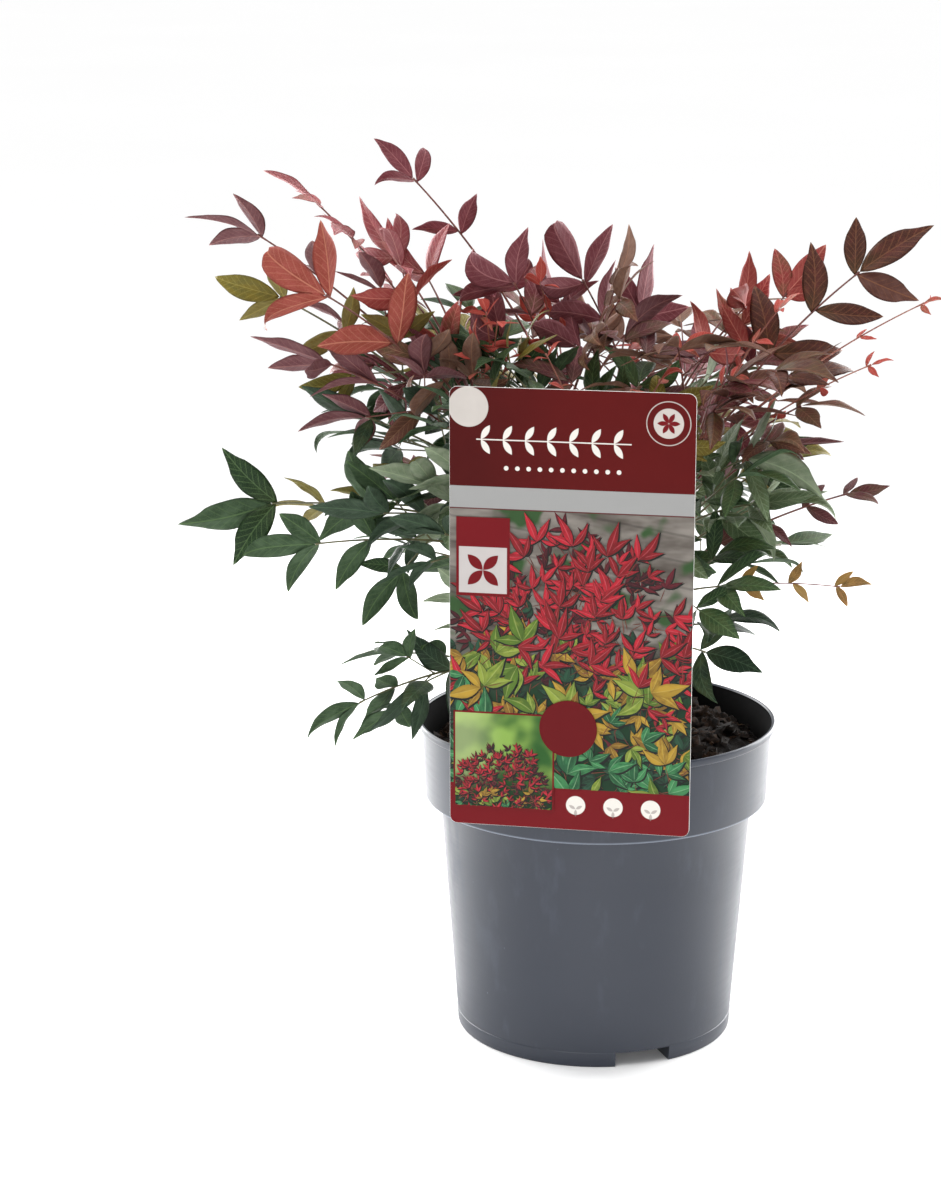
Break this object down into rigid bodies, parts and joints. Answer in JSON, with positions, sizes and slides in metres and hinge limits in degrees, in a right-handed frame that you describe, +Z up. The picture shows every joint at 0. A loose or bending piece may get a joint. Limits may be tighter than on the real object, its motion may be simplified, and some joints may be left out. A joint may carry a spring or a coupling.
{
  "type": "potted heavenly bamboo shrub",
  "caption": "Young heavenly bamboo with upright canes and red, plum and green compound leaves, growing in a round plastic nursery pot with a tall label card.",
  "frame": {"origin": "centre of the pot's flat underside, on the ground", "axes": "+Z up along the pot's axis, -Y towards the front, where the label card stands, +X to the right seen from the front"},
  "size_m": [0.3962, 0.2672, 0.4727],
  "materials": {
    "pot_plastic": "moulded blue-grey recycled plastic, low sheen",
    "potting_soil": "dark moist bark and peat potting mix",
    "label_card": "printed plastic card with a soft gloss",
    "cane_bark": "thin brown bark with fine ridges",
    "leaf_burgundy": "burgundy autumn leaves, waxy",
    "leaf_rose": "rose leaves, waxy",
    "leaf_coral": "coral-red leaves, waxy",
    "leaf_plum": "dark plum leaves, waxy",
    "leaf_olive": "olive leaves turning yellow, waxy",
    "leaf_green": "mid-green leaves, waxy",
    "leaf_dark": "dark blue-green leaves, waxy",
    "leaf_bronze": "bronze leaves seen from below, waxy",
    "leaf_red": "red leaves, waxy",
    "leaf_young": "bright coral young shoots, waxy",
    "leaf_amber": "amber young leaves, waxy",
    "leaf_grey": "grey-green leaves seen from below, waxy",
    "leaf_brown": "brown-red leaves, waxy"
  },
  "bodies": {
    "root": {"pot": "pot_plastic", "soil": "potting_soil", "plant_label": "label_card", "cane_left": "cane_bark", "cane_right": "cane_bark", "cane_middle": "cane_bark", "cane_back_left": "cane_bark", "cane_back_right": "cane_bark", "cane_front": "cane_bark", "cane_low_left": "cane_bark", "cane_low_right": "cane_bark", "spray_top_left": "leaf_burgundy", "spray_rose_left": "leaf_rose", "spray_coral_left": "leaf_coral", "spray_far_left": "leaf_plum", "spray_olive_left": "leaf_olive", "spray_plum_left": "leaf_plum", "spray_green_left": "leaf_green", "spray_long_left": "leaf_green", "spray_long_left_behind": "leaf_olive", "spray_drooping_left": "leaf_green", "spray_dark_left": "leaf_dark", "spray_low_left": "leaf_green", "spray_low_left_rising": "leaf_green", "spray_top_right": "leaf_brown", "spray_red_right": "leaf_red", "spray_front_right": "leaf_brown", "spray_bronze_right": "leaf_bronze", "spray_flat_right": "leaf_bronze", "spray_red_right_behind": "leaf_red", "spray_centre_top": "leaf_burgundy", "spray_centre_upright": "leaf_burgundy", "spray_centre_green": "leaf_green", "spray_front_green": "leaf_green", "spray_front_plum": "leaf_plum", "spray_front_bronze": "leaf_bronze", "spray_front_brown": "leaf_brown", "spray_plum_right_low": "leaf_plum", "spray_amber_right_low": "leaf_amber", "spray_green_right": "leaf_green", "spray_grey_right": "leaf_grey", "spray_plum_right": "leaf_plum", "spray_low_right": "leaf_dark", "spray_low_right_hanging": "leaf_dark", "spray_shoot_right": "leaf_young", "spray_shoot_right_low": "leaf_young", "spray_shoot_left": "leaf_young", "spray_back_1": "leaf_green", "spray_back_2": "leaf_burgundy", "spray_back_3": "leaf_dark", "spray_back_4": "leaf_plum", "spray_back_5": "leaf_bronze", "spray_back_6": "leaf_olive", "spray_back_7": "leaf_green", "spray_back_8": "leaf_burgundy", "spray_back_9": "leaf_dark", "spray_back_10": "leaf_plum", "spray_back_11": "leaf_bronze", "spray_back_12": "leaf_olive"}
  },
  "joints": []
}
